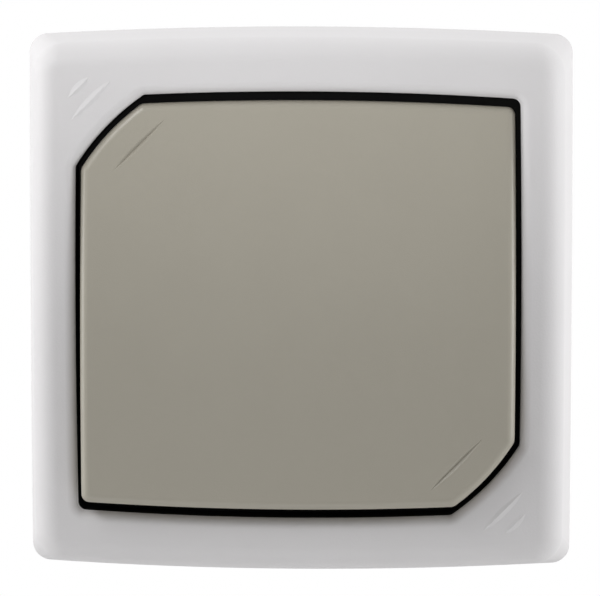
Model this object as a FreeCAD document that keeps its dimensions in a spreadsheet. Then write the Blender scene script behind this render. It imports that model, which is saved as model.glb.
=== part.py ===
import FreeCAD, Part
import math
import os
import re

import Sketcher
from FreeCAD import Placement, Rotation, Vector

# Flush-mounted weatherproof rocker switch, one gang, two-way, for a 60 mm wall box.
# X is right, Z is up and the wall is the plane Y = 0, with the box screws on the line Z = 0.
# A depth is a distance in front of the wall, so it runs along -Y, and inside the box it is negative.

os.makedirs("parts", exist_ok=True)
doc = FreeCAD.newDocument("WeatherproofSwitch")
sizes = doc.addObject("Spreadsheet::Sheet", "Sizes")

drivingSizes = [
    # cover frame
    ("FrameWidth", 84.0),
    ("FrameHeight", 84.4),
    ("FrameBow", 700.0),
    ("FrameSideBow", 6000.0),
    ("FrameCorner", 2.9),
    ("FrameFaceCorner", 4.6),
    ("FrameDraft", 1.3),
    ("FrameRimDepth", 0.4),
    ("FrameFaceDepth", 12.4),
    ("FrameDomeRadius", 900.0),
    ("FrameWall", 2.0),
    ("FrameFaceWall", 2.0),
    ("FrameEdge", 3.9),
    # opening of the frame, with two cut corners
    ("OpeningWidth", 68.0),
    ("OpeningHeight", 65.3),
    ("OpeningBow", 523.0),
    ("OpeningSideBow", 1850.0),
    ("OpeningCorner", 1.3),
    ("OpeningEdge", 1.6),
    ("CutRadius", 37.0),
    ("CutCentreX", 2.5),
    ("CutCentreZ", 1.6),
    ("CutBlend", 1.0),
    ("SkirtWall", 1.4),
    # raised strokes on two corners of the frame
    ("StrokeDistance", 44.3),
    ("StrokeLength", 8.5),
    ("SmallStrokeDistance", 47.0),
    ("SmallStrokeLength", 4.3),
    ("StrokeHeight", 0.2),
    ("StrokeWidth", 1.1),
    ("StrokeRoot", 0.5),
    # inner rib of the frame and the seal pushed on it
    ("RibInset", 3.6),
    ("RibWall", 1.4),
    ("RibCorner", 2.0),
    ("GasketThickness", 1.6),
    ("GasketOuterLip", 1.0),
    ("GasketInnerLip", 0.5),
    ("GasketLipHeight", 1.2),
    # steel support plate
    ("PlateWidth", 72.6),
    ("PlateHeight", 71.0),
    ("PlateThickness", 1.0),
    ("PlateCorner", 3.0),
    ("ScrewSpacing", 60.0),
    ("ScrewSlotRadius", 2.0),
    ("ScrewSlotLength", 8.0),
    ("ApertureClearance", 0.6),
    ("LugDepth", 5.0),
    ("LugWidth", 8.0),
    ("LugSpacing", 36.0),
    ("WindowWidth", 5.0),
    ("WindowBack", 2.8),
    ("WindowHeight", 1.6),
    ("NubClearance", 0.2),
    ("NubReach", 1.3),
    # sealing membrane between the plate and the frame
    ("MembraneDepth", 5.2),
    ("MembraneWall", 1.0),
    ("MembraneClearance", 0.4),
    ("MembraneCorner", 2.0),
    ("MembraneMargin", 1.0),
    ("CollarHeight", 1.4),
    ("CollarWall", 1.2),
    ("LipWall", 0.5),
    ("LipClearance", 0.1),
    # mechanism cover and base
    ("TowerWidth", 24.0),
    ("TowerHeight", 26.0),
    ("TowerWall", 1.8),
    ("TowerDepth", 7.0),
    ("CoverThickness", 2.0),
    ("ArmSlotWidth", 6.4),
    ("ArmSlotHeight", 8.4),
    ("EarRadius", 2.2),
    ("BaseSize", 42.0),
    ("BaseChamfer", 8.0),
    ("BaseFloor", 2.2),
    ("ChamberWidth", 11.0),
    ("RivetSpacing", 30.0),
    ("RivetRadius", 1.2),
    ("RivetHeadRadius", 2.0),
    ("RivetHeadHeight", 0.9),
    # rocker, toggle and their pivot
    ("PivotDepth", 9.0),
    ("RestTilt", 4.0),
    ("PinRadius", 1.0),
    ("PinClearance", 0.04),
    ("ToggleClearance", 0.3),
    ("HubRadius", 2.2),
    ("TogglePlateHeight", 18.0),
    ("TogglePlateBack", 0.9),
    ("TogglePlateWall", 1.6),
    ("ArmRadius", 2.6),
    ("ArmLength", 11.0),
    ("SpringSeat", 3.0),
    ("RockerFaceDepth", 13.5),
    ("RockerBackDepth", 8.0),
    ("RockerSideGap", 0.85),
    ("RockerEndGap", 1.5),
    ("RockerCutGap", 1.0),
    ("RockerBlend", 1.6),
    ("RockerFaceWall", 1.8),
    ("RockerSkirtWall", 1.5),
    ("RockerEdge", 1.4),
    ("MarkDistance", 34.2),
    ("MarkLength", 11.2),
    ("MarkDepth", 0.35),
    ("MarkWidth", 0.9),
    ("LegWidth", 10.0),
    ("LegThickness", 1.2),
    ("LegClearance", 0.2),
    ("HookReach", 0.6),
    ("HookHeight", 1.0),
    ("RockerRibSpacing", 44.0),
    ("RockerRibWall", 1.2),
    ("RockerRibHeight", 2.0),
    # plunger and its spring
    ("PlungerRadius", 1.5),
    ("PlungerFlat", 0.04),
    ("PlungerClearance", 0.05),
    ("PlungerLength", 6.0),
    ("PlungerReach", 14.0),
    ("SpringWire", 0.4),
    ("SpringRadius", 1.1),
    ("SpringTurns", 5.0),
    ("SpringEndGap", 0.02),
    # contacts
    ("PlungerGap", 0.05),
    ("SeesawTilt", 8.0),
    ("SeesawThickness", 1.0),
    ("SeesawWidth", 5.0),
    ("SeesawLength", 15.6),
    ("KnifeRadius", 0.5),
    ("KnifeClearance", 0.05),
    ("ContactSpacing", 12.4),
    ("ContactRadius", 1.5),
    ("ContactHeight", 0.8),
    ("ContactRim", 0.4),
    ("ContactGap", 0.03),
    ("FixedContactRadius", 1.8),
    ("FixedContactHeight", 0.6),
    ("ContactShank", 0.7),
    # terminals and their screws
    ("TongueThickness", 0.8),
    ("TongueWidth", 5.0),
    ("TongueTip", 4.2),
    ("TerminalInner", 11.0),
    ("TerminalOuter", 18.0),
    ("TerminalWidth", 8.0),
    ("TerminalDepth", 10.0),
    ("TerminalClearance", 0.15),
    ("WireRadius", 1.6),
    ("WireDepth", 8.0),
    ("WireFunnel", 0.3),
    ("ClampRadius", 1.5),
    ("ClampHeadRadius", 2.5),
    ("ClampHeadHeight", 1.8),
    ("ClampHeadGap", 0.5),
    ("ClampTipGap", 0.1),
    ("ClampAccess", 0.3),
    ("SlotWidth", 0.8),
    ("SlotDepth", 0.8),
]
for row, (name, size) in enumerate(drivingSizes, start=1):
    sizes.set(f"A{row}", name)
    sizes.set(f"B{row}", str(size))
    sizes.setAlias(f"B{row}", name)
doc.recompute()

# Levels and spans that several pieces share
plungerTipDepth = "(PivotDepth - PlungerReach)"
seesawDepth = f"({plungerTipDepth} - PlungerGap - SeesawThickness)"
contactBall = "((ContactRadius^2 + ContactRim^2) / (2 * ContactRim))"
contactDrop = (
    f"(ContactSpacing / 2 * sin(SeesawTilt) + {contactBall}"
    f" - ({contactBall} - ContactHeight) * cos(SeesawTilt) + ContactGap)"
)
tongueFront = f"({seesawDepth} - {contactDrop} - FixedContactHeight)"
tongueBack = f"({tongueFront} - TongueThickness)"
terminalBack = f"({tongueFront} - TerminalDepth)"
baseBack = f"({terminalBack} - BaseFloor)"
wireCentre = "((TerminalInner + TerminalOuter) / 2)"
clampDepth = f"({terminalBack} + WireDepth / 2)"
frameInside = "(FrameFaceDepth - FrameFaceWall)"
domeApex = "(FrameFaceDepth + (OpeningWidth / 2)^2 / (2 * FrameDomeRadius))"
ribInner = "(RibInset + RibWall)"
windowMiddle = "(WindowBack + WindowHeight / 2)"
lipDepth = "(FrameFaceDepth - OpeningEdge - LipClearance)"
lipSeat = "(LipWall + LipClearance)"
rockerFace = "(RockerFaceDepth - PivotDepth)"
rockerInside = f"({rockerFace} - RockerFaceWall)"
rockerBack = "(RockerBackDepth - PivotDepth)"
toggleWidth = "(TowerWidth - 2 * TowerWall - 2 * ToggleClearance)"

# The two cut corners lie on this diagonal, in degrees from the horizontal
diagonal = 45
# How far cutting shapes reach past what they cut, and how close an edge lies to a level it is on
overshoot = 5
closeBy = 0.01


def formula(text):
    """The text with each size read from the sheet."""
    return re.sub(r"\b([A-Z]\w+)", r"Sizes.\1", str(text))


def value(text):
    """What the text comes to with the present sizes."""
    return float(sizes.evalExpression(formula(text)))


def bind(item, path, text):
    item.setExpression(path, formula(text))


def newBody(label):
    body = doc.addObject("PartDesign::Body", "Body")
    body.Label = label
    return body


def originPart(body, role):
    return next(part for part in body.Origin.OriginFeatures if part.Role == role)


def newSketch(body, plane, offset="0", turn=None):
    """A sketch on one of the body's own planes, moved along the plane's normal."""
    sketch = body.newObject("Sketcher::SketchObject", "Sketch")
    sketch.AttachmentSupport = [(originPart(body, plane), "")]
    sketch.MapMode = "FlatFace"
    if turn:
        sketch.AttachmentOffset = Placement(Vector(0, 0, 0), Rotation(Vector(0, 1, 0), turn))
    bind(sketch, ".AttachmentOffset.Base.z", offset)
    return sketch


def dimension(sketch, kind, refs, text):
    index = sketch.addConstraint(Sketcher.Constraint(kind, *refs, value(text)))
    bind(sketch, f"Constraints[{index}]", text)


def fixPoint(sketch, curve, point, x, y):
    dimension(sketch, "DistanceX", (curve, point), x)
    dimension(sketch, "DistanceY", (curve, point), y)


def polygon(sketch, corners):
    """A closed outline of straight lines through corners given as pairs of formulas."""
    spots = [Vector(value(x), value(y), 0) for x, y in corners]
    lines = [Part.LineSegment(a, b) for a, b in zip(spots, spots[1:] + spots[:1])]
    ids = sketch.addGeometry(lines)
    for here, after in zip(ids, list(ids[1:]) + [ids[0]]):
        sketch.addConstraint(Sketcher.Constraint("Coincident", here, 2, after, 1))
    for line, (x, y) in zip(ids, corners):
        fixPoint(sketch, line, 1, x, y)


def rectangle(sketch, width, height, x="0", y="0"):
    left, right = f"{x} - ({width}) / 2", f"{x} + ({width}) / 2"
    low, high = f"{y} - ({height}) / 2", f"{y} + ({height}) / 2"
    polygon(sketch, [(left, low), (right, low), (right, high), (left, high)])


def circle(sketch, radius, x="0", y="0"):
    ring = Part.Circle(Vector(value(x), value(y), 0), Vector(0, 0, 1), value(radius))
    index = sketch.addGeometry(ring)
    fixPoint(sketch, index, 3, x, y)
    dimension(sketch, "Radius", (index,), radius)


def blendSpot(first, second, radius):
    """Centre of the circle of this radius that touches two sides from inside, at their corner."""
    (a, sizeA, faceA), (b, sizeB, faceB) = first, second
    reachA, reachB = sizeA - radius, sizeB - radius
    gap = (b - a).Length
    along = (gap**2 + reachA**2 - reachB**2) / (2 * gap)
    aside = math.sqrt(reachA**2 - along**2)
    line = (b - a).normalize()
    across = Vector(-line.y, line.x, 0)
    options = [a + line * along + across * side * aside for side in (1, -1)]
    return max(options, key=lambda spot: spot.dot(faceA + faceB))


def arcBetween(centre, radius, start, end):
    begin = math.atan2(start.y - centre.y, start.x - centre.x)
    finish = math.atan2(end.y - centre.y, end.x - centre.x)
    return Part.ArcOfCircle(Part.Circle(centre, Vector(0, 0, 1), radius), begin, finish)


def bowedOutline(sketch, sides):
    """A closed outline of large arcs, each blended into the next one.

    Going round anticlockwise, each side is (centre x, centre y, radius, the way it faces
    in degrees, radius of the blend after it).
    """
    known = []
    for x, y, radius, faces, blend in sides:
        facing = Vector(math.cos(math.radians(faces)), math.sin(math.radians(faces)), 0)
        known.append((Vector(value(x), value(y), 0), value(radius), facing))
    count = len(sides)
    blends = [
        blendSpot(known[i], known[(i + 1) % count], value(sides[i][4])) for i in range(count)
    ]
    ends = []
    for i, (centre, radius, facing) in enumerate(known):
        before, after = blends[i - 1] - centre, blends[i] - centre
        ends.append((centre + before.normalize() * radius, centre + after.normalize() * radius))
    curves = []
    for i, (centre, radius, facing) in enumerate(known):
        curves.append(arcBetween(centre, radius, *ends[i]))
        nextStart = ends[(i + 1) % count][0]
        curves.append(arcBetween(blends[i], value(sides[i][4]), ends[i][1], nextStart))
    ids = sketch.addGeometry(curves)
    for here, after in zip(ids, list(ids[1:]) + [ids[0]]):
        sketch.addConstraint(Sketcher.Constraint("Tangent", here, 2, after, 1))
    for i, (x, y, radius, faces, blend) in enumerate(sides):
        fixPoint(sketch, ids[2 * i], 3, x, y)
        dimension(sketch, "Radius", (ids[2 * i],), radius)
        dimension(sketch, "Radius", (ids[2 * i + 1],), blend)


def frameOutline(sketch, inset, corner):
    """The frame's outline, moved in by an inset: bowed top and bottom, nearly straight sides."""
    endCentre = "(FrameBow - FrameHeight / 2)"
    sideCentre = "(FrameSideBow - FrameWidth / 2)"
    endBow, sideBow = f"FrameBow - ({inset})", f"FrameSideBow - ({inset})"
    bowedOutline(
        sketch,
        [
            (f"-{sideCentre}", "0", sideBow, 0, corner),
            ("0", f"-{endCentre}", endBow, 90, corner),
            (sideCentre, "0", sideBow, 180, corner),
            ("0", endCentre, endBow, 270, corner),
        ],
    )


def rockerOutline(sketch, side, end, cut, corner, blend):
    """The opening's outline moved in by a gap at the sides, at the ends and at the cut corners."""
    endCentre = "(OpeningBow - OpeningHeight / 2)"
    sideCentre = "(OpeningSideBow - OpeningWidth / 2)"
    endBow, sideBow = f"OpeningBow - ({end})", f"OpeningSideBow - ({side})"
    cutBow = f"CutRadius - ({cut})"
    bowedOutline(
        sketch,
        [
            (f"-{sideCentre}", "0", sideBow, 0, corner),
            ("0", f"-{endCentre}", endBow, 90, blend),
            ("-CutCentreX", "CutCentreZ", cutBow, 135, blend),
            (sideCentre, "0", sideBow, 180, corner),
            ("0", endCentre, endBow, 270, blend),
            ("CutCentreX", "-CutCentreZ", cutBow, 315, blend),
        ],
    )


def openingOutline(sketch, outset):
    """The frame's opening, moved out by the same distance all round."""
    moved = f"-({outset})"
    rockerOutline(sketch, moved, moved, moved, "OpeningCorner", "CutBlend")


def addFeature(body, kind, sketch, length=None):
    feature = body.newObject(f"PartDesign::{kind}", kind)
    feature.Profile = sketch
    if length:
        bind(feature, "Length", length)
    return feature


def pad(body, sketch, length):
    return addFeature(body, "Pad", sketch, length)


def pocket(body, sketch, length):
    return addFeature(body, "Pocket", sketch, length)


def padMiddle(body, sketch, length):
    feature = pad(body, sketch, length)
    feature.Midplane = True
    return feature


def turned(body, kind, sketch, axis, angle="360"):
    """A Revolution or a Groove, half of its angle on each side of the sketch."""
    feature = addFeature(body, kind, sketch)
    feature.ReferenceAxis = axis
    feature.Midplane = True
    bind(feature, "Angle", angle)
    return feature


def loft(body, kind, first, last):
    feature = addFeature(body, kind, first)
    feature.Sections = [last]
    feature.Ruled = True
    return feature


def polar(body, features, count, angle):
    """Copies of features around the body's Y axis."""
    pattern = body.newObject("PartDesign::PolarPattern", "PolarPattern")
    pattern.Originals = features
    pattern.Axis = (originPart(body, "Y_Axis"), [""])
    pattern.Angle = angle
    pattern.Occurrences = count
    body.Tip = pattern
    return pattern


def roundEdges(body, radius, chosen):
    """A fillet on the edges of the body's tip that the test picks."""
    doc.recompute()
    base = body.Tip
    names = [f"Edge{i}" for i, edge in enumerate(base.Shape.Edges, start=1) if chosen(edge)]
    feature = body.newObject("PartDesign::Fillet", "Fillet")
    feature.Base = (base, names)
    bind(feature, "Radius", radius)
    return feature


def tilt(body, angle, y, z="0"):
    """Turn a body about X and then move it."""
    body.Placement = Placement(Vector(0, 0, 0), Rotation(Vector(1, 0, 0), value(angle)))
    bind(body, ".Placement.Rotation.Angle", angle)
    bind(body, ".Placement.Base.y", y)
    bind(body, ".Placement.Base.z", z)


def spin(body, angle):
    """Turn a body about Y, from the top of the mechanism to another side."""
    body.Placement = Placement(Vector(0, 0, 0), Rotation(Vector(0, 1, 0), angle))


def makeFrame():
    """Moulded cover frame: a drafted shell with a domed face, an inner rib and snap nubs."""
    body = newBody("frame")
    rim = newSketch(body, "XZ_Plane", "FrameRimDepth")
    frameOutline(rim, "0", "FrameCorner")
    front = newSketch(body, "XZ_Plane", domeApex)
    frameOutline(front, "FrameDraft", "FrameFaceCorner")
    loft(body, "AdditiveLoft", rim, front)

    dome = newSketch(body, "YZ_Plane")
    domeFace(dome, "FrameWidth")
    turned(body, "Groove", dome, (originPart(body, "Y_Axis"), [""]))

    roundEdges(body, "FrameEdge", onDomedFace)

    inner = newSketch(body, "XZ_Plane", "FrameRimDepth")
    frameOutline(inner, "FrameWall", "RibCorner")
    roof = newSketch(body, "XZ_Plane", frameInside)
    frameOutline(roof, "FrameWall + FrameDraft", "RibCorner")
    loft(body, "SubtractiveLoft", inner, roof)

    rib = newSketch(body, "XZ_Plane", "GasketThickness")
    frameOutline(rib, "RibInset", "RibCorner")
    frameOutline(rib, ribInner, "RibCorner")
    pad(body, rib, f"{frameInside} - GasketThickness")

    skirt = newSketch(body, "XZ_Plane", "MembraneDepth")
    openingOutline(skirt, f"{lipSeat} + SkirtWall")
    pad(body, skirt, f"{frameInside} - MembraneDepth")

    opening = newSketch(body, "XZ_Plane", domeApex)
    openingOutline(opening, "0")
    pocket(body, opening, f"{domeApex} - MembraneDepth")
    roundEdges(body, "OpeningEdge", onOpeningRim)
    seat = newSketch(body, "XZ_Plane", f"{lipDepth} + LipClearance / 2")
    openingOutline(seat, lipSeat)
    pocket(body, seat, f"{lipDepth} + LipClearance / 2 - MembraneDepth")

    nub = newSketch(body, "XZ_Plane", f"{windowMiddle} - WindowHeight / 2 + NubClearance")
    for side in ("", "-"):
        for end in ("", "-"):
            middle = f"{side}(FrameWidth / 2 - {ribInner} - NubReach / 2 + NubClearance / 2)"
            height = "WindowWidth - 2 * NubClearance"
            rectangle(nub, "NubReach + NubClearance", height, middle, f"{end}LugSpacing / 2")
    pad(body, nub, "WindowHeight - 2 * NubClearance")

    addStrokes(body, "StrokeDistance", "StrokeLength")
    addStrokes(body, "SmallStrokeDistance", "SmallStrokeLength")
    return body


def domeFace(sketch, reach):
    """What lies in front of the frame's domed face, to be cut off: an arc closed by three lines."""
    centre = f"FrameDomeRadius - {domeApex}"
    radius = value("FrameDomeRadius")
    middle = Vector(value(centre), 0, 0)
    lean = math.asin(value(reach) / radius)
    far = middle + Vector(-math.cos(lean), math.sin(lean), 0) * radius
    near = middle - Vector(radius, 0, 0)
    aside = Vector(near.x - overshoot, 0, 0)
    corner = Vector(aside.x, far.y, 0)
    arc = Part.ArcOfCircle(
        Part.Circle(middle, Vector(0, 0, 1), radius), math.pi - lean, math.pi
    )
    lines = [Part.LineSegment(near, aside), Part.LineSegment(aside, corner)]
    ids = sketch.addGeometry([arc] + lines + [Part.LineSegment(corner, far)])
    for here, after in zip(ids, list(ids[1:]) + [ids[0]]):
        sketch.addConstraint(Sketcher.Constraint("Coincident", here, 2, after, 1))
    fixPoint(sketch, ids[0], 3, centre, "0")
    dimension(sketch, "Radius", (ids[0],), "FrameDomeRadius")
    dimension(sketch, "DistanceY", (ids[0], 2), "0")
    dimension(sketch, "DistanceY", (ids[0], 1), reach)
    fixPoint(sketch, ids[1], 2, f"-{domeApex} - {overshoot}", "0")
    fixPoint(sketch, ids[2], 2, f"-{domeApex} - {overshoot}", reach)


def onDomedFace(edge):
    """Does this edge lie in front of the inside of the face's wall?"""
    return edge.BoundBox.YMax < -value(frameInside) - closeBy


def onOpeningRim(edge):
    """Is this edge where the opening meets the domed face?"""
    box = edge.BoundBox
    across = max(abs(box.XMax), abs(box.XMin)) < value("OpeningWidth / 2") + closeBy
    upright = max(abs(box.ZMax), abs(box.ZMin)) < value("OpeningHeight / 2") + closeBy
    return across and upright and onDomedFace(edge)


def addStrokes(body, distance, length):
    """Two raised slivers, one on each cut corner's diagonal."""
    sweep = f"(({length})^2 / (8 * StrokeHeight) + StrokeHeight / 2)"
    face = f"({domeApex} - ({distance})^2 / (2 * FrameDomeRadius))"
    root = f"({face} - StrokeRoot)"
    spread = "(StrokeWidth / 2 * (StrokeHeight + StrokeRoot) / StrokeHeight)"
    sketch = newSketch(body, "XY_Plane", "0", diagonal)
    for side in ("-", ""):
        middle = f"{side}{distance}"
        polygon(
            sketch,
            [
                (middle, f"-({face} + StrokeHeight)"),
                (f"{middle} - {spread}", f"-{root}"),
                (f"{middle} + {spread}", f"-{root}"),
            ],
        )
    addAxis(sketch, f"{sweep} - {face} - StrokeHeight")
    angle = f"2 * asin({length} / 2 / {sweep})"
    turned(body, "Revolution", sketch, (sketch, ["Axis0"]), angle)


def addAxis(sketch, height):
    """A construction line along the sketch's x axis, at a height, to turn a profile about."""
    level = value(height)
    line = Part.LineSegment(Vector(-1, level, 0), Vector(1, level, 0))
    index = sketch.addGeometry(line, True)
    fixPoint(sketch, index, 1, "-1", height)
    fixPoint(sketch, index, 2, "1", height)


def makeGasket():
    """Rubber seal with a groove that pushes on to the frame's inner rib."""
    body = newBody("wall_gasket")
    ring = newSketch(body, "XZ_Plane")
    frameOutline(ring, "RibInset - GasketOuterLip", "RibCorner")
    frameOutline(ring, f"{ribInner} + GasketInnerLip", "RibCorner")
    pad(body, ring, "GasketThickness + GasketLipHeight")
    groove = newSketch(body, "XZ_Plane", "GasketThickness + GasketLipHeight")
    frameOutline(groove, "RibInset", "RibCorner")
    frameOutline(groove, ribInner, "RibCorner")
    pocket(body, groove, "GasketLipHeight")
    return body


def roundedRectangle(sketch, width, height, corner):
    """Straight sides with tangent quarter circles at the corners."""
    halfW, halfH = value(width) / 2, value(height) / 2
    radius = value(corner)
    spots = [(1, -1), (1, 1), (-1, 1), (-1, -1)]
    curves = []
    for i, (sx, sy) in enumerate(spots):
        centre = Vector(sx * (halfW - radius), sy * (halfH - radius), 0)
        begin = (i - 1) * math.pi / 2
        ring = Part.Circle(centre, Vector(0, 0, 1), radius)
        arc = Part.ArcOfCircle(ring, begin, begin + math.pi / 2)
        curves.append(arc)
    lines = []
    for i, arc in enumerate(curves):
        lines.append(Part.LineSegment(arc.EndPoint, curves[(i + 1) % 4].StartPoint))
    ids = sketch.addGeometry([curve for pair in zip(curves, lines) for curve in pair])
    for here, after in zip(ids, list(ids[1:]) + [ids[0]]):
        sketch.addConstraint(Sketcher.Constraint("Tangent", here, 2, after, 1))
    for i, (sx, sy) in enumerate(spots):
        x = f"{sx} * (({width}) / 2 - {corner})"
        y = f"{sy} * (({height}) / 2 - {corner})"
        fixPoint(sketch, ids[2 * i], 3, x, y)
        dimension(sketch, "Radius", (ids[2 * i],), corner)


def straightSlot(sketch, radius, length, x, y, upright):
    """A slot centred on a point, with half circles at its ends."""
    half = f"(({length}) / 2 - {radius})"
    alongX, alongY = ("0", half) if upright else (half, "0")
    start = math.pi if upright else math.pi / 2
    arcs = []
    spots = []
    for sign, begin in (("-", start), ("+", start + math.pi)):
        spots.append((f"{x} {sign} {alongX}", f"{y} {sign} {alongY}"))
        centre = Vector(value(spots[-1][0]), value(spots[-1][1]), 0)
        ring = Part.Circle(centre, Vector(0, 0, 1), value(radius))
        arcs.append(Part.ArcOfCircle(ring, begin, begin + math.pi))
    lines = [
        Part.LineSegment(arcs[0].EndPoint, arcs[1].StartPoint),
        Part.LineSegment(arcs[1].EndPoint, arcs[0].StartPoint),
    ]
    ids = sketch.addGeometry([arcs[0], lines[0], arcs[1], lines[1]])
    for here, after in zip(ids, list(ids[1:]) + [ids[0]]):
        sketch.addConstraint(Sketcher.Constraint("Tangent", here, 2, after, 1))
    for index, (cx, cy) in zip((ids[0], ids[2]), spots):
        fixPoint(sketch, index, 3, cx, cy)
    dimension(sketch, "Radius", (ids[0],), radius)


def makePlate():
    """Steel support plate with screw slots and four bent lugs that hold the frame."""
    body = newBody("support_plate")
    sheet = newSketch(body, "XZ_Plane")
    roundedRectangle(sheet, "PlateWidth", "PlateHeight", "PlateCorner")
    rectangle(sheet, "TowerWidth + 2 * ApertureClearance", "TowerHeight + 2 * ApertureClearance")
    for side in ("", "-"):
        place = f"{side}ScrewSpacing / 2"
        straightSlot(sheet, "ScrewSlotRadius", "ScrewSlotLength", place, "0", False)
        straightSlot(sheet, "ScrewSlotRadius", "ScrewSlotLength", "0", place, True)
        for end in ("", "-"):
            circle(sheet, "RivetRadius", f"{side}RivetSpacing / 2", f"{end}RivetSpacing / 2")
    pad(body, sheet, "PlateThickness")

    lugs = newSketch(body, "XZ_Plane")
    for side in ("", "-"):
        for end in ("", "-"):
            middle = f"{side}(PlateWidth / 2 - PlateThickness / 2)"
            rectangle(lugs, "PlateThickness", "LugWidth", middle, f"{end}LugSpacing / 2")
    pad(body, lugs, "LugDepth")

    windows = newSketch(body, "XZ_Plane", f"{windowMiddle} + WindowHeight / 2")
    for side in ("", "-"):
        for end in ("", "-"):
            middle = f"{side}(PlateWidth / 2 - PlateThickness / 2)"
            rectangle(windows, "2 * PlateThickness", "WindowWidth", middle, f"{end}LugSpacing / 2")
    pocket(body, windows, "WindowHeight")
    return body


def makeRivets():
    """Four tubular rivets that clamp the plate, the cover and the base together."""
    body = newBody("mounting_rivets")
    place = ("RivetSpacing / 2", "RivetSpacing / 2")
    shank = newSketch(body, "XZ_Plane", f"{baseBack} + RivetHeadHeight")
    circle(shank, "RivetRadius", *place)
    first = pad(body, shank, f"PlateThickness - {baseBack} - RivetHeadHeight")
    front = newSketch(body, "XZ_Plane", "PlateThickness")
    circle(front, "RivetHeadRadius", *place)
    second = pad(body, front, "RivetHeadHeight")
    back = newSketch(body, "XZ_Plane", baseBack)
    circle(back, "RivetHeadRadius", *place)
    third = pad(body, back, "RivetHeadHeight")
    polar(body, [first, second, third], count=4, angle=360)
    return body


def makeMembrane():
    """Soft tray behind the rocker: a collar grips the tower, and a lip lines the frame's opening."""
    body = newBody("sealing_membrane")
    width = "(PlateWidth - 2 * PlateThickness - 2 * MembraneClearance)"
    height = "(PlateHeight - 2 * MembraneMargin)"
    tray = newSketch(body, "XZ_Plane", "PlateThickness")
    roundedRectangle(tray, width, height, "MembraneCorner")
    pad(body, tray, "MembraneDepth - PlateThickness")
    hollow = newSketch(body, "XZ_Plane", "MembraneDepth - MembraneWall")
    inside = f"{width} - 2 * MembraneWall"
    roundedRectangle(hollow, inside, f"{height} - 2 * MembraneWall", "MembraneCorner")
    pocket(body, hollow, "MembraneDepth - MembraneWall - PlateThickness")
    collar = newSketch(body, "XZ_Plane", "MembraneDepth - MembraneWall")
    rectangle(collar, "TowerWidth + 2 * CollarWall", "TowerHeight + 2 * CollarWall")
    pad(body, collar, "MembraneWall + CollarHeight")
    hole = newSketch(body, "XZ_Plane", "MembraneDepth + CollarHeight")
    rectangle(hole, "TowerWidth", "TowerHeight")
    pocket(body, hole, "MembraneWall + CollarHeight")
    lip = newSketch(body, "XZ_Plane", "MembraneDepth - MembraneWall")
    openingOutline(lip, "LipWall")
    openingOutline(lip, "0")
    pad(body, lip, f"{lipDepth} - MembraneDepth + MembraneWall")
    return body


def baseOutline(sketch):
    """A square with its corners cut, so that it goes into the round wall box."""
    half, cut = "BaseSize / 2", "BaseSize / 2 - BaseChamfer"
    polygon(
        sketch,
        [
            (half, f"-({cut})"),
            (half, cut),
            (cut, half),
            (f"-({cut})", half),
            (f"-{half}", cut),
            (f"-{half}", f"-({cut})"),
            (f"-({cut})", f"-{half}"),
            (cut, f"-{half}"),
        ],
    )


def makeCover():
    """Front cover of the mechanism: a plate, a hollow tower and two ears for the pivot pin."""
    body = newBody("mechanism_cover")
    lid = newSketch(body, "XZ_Plane", "-CoverThickness")
    baseOutline(lid)
    pad(body, lid, "CoverThickness")
    tower = newSketch(body, "XZ_Plane")
    rectangle(tower, "TowerWidth", "TowerHeight")
    pad(body, tower, "TowerDepth")
    ears = newSketch(body, "YZ_Plane")
    rectangle(ears, "PivotDepth - TowerDepth + TowerWall", "2 * EarRadius",
              "-(PivotDepth + TowerDepth - TowerWall) / 2", "0")
    padMiddle(body, ears, "TowerWidth")
    tips = newSketch(body, "YZ_Plane")
    circle(tips, "EarRadius", "-PivotDepth", "0")
    padMiddle(body, tips, "TowerWidth")
    hollow = newSketch(body, "XZ_Plane", "PivotDepth + EarRadius")
    rectangle(hollow, "TowerWidth - 2 * TowerWall", "TowerHeight - 2 * TowerWall")
    pocket(body, hollow, "PivotDepth + EarRadius")
    slot = newSketch(body, "XZ_Plane", "0")
    rectangle(slot, "ArmSlotWidth", "ArmSlotHeight")
    pocket(body, slot, "CoverThickness")
    rivet = newSketch(body, "XZ_Plane", "0")
    for side in ("", "-"):
        for end in ("", "-"):
            circle(rivet, "RivetRadius", f"{side}RivetSpacing / 2", f"{end}RivetSpacing / 2")
    pocket(body, rivet, "CoverThickness")
    bore = newSketch(body, "YZ_Plane", "TowerWidth / 2")
    circle(bore, "PinRadius", "-PivotDepth", "0")
    pocket(body, bore, "TowerWidth")
    return body


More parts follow.
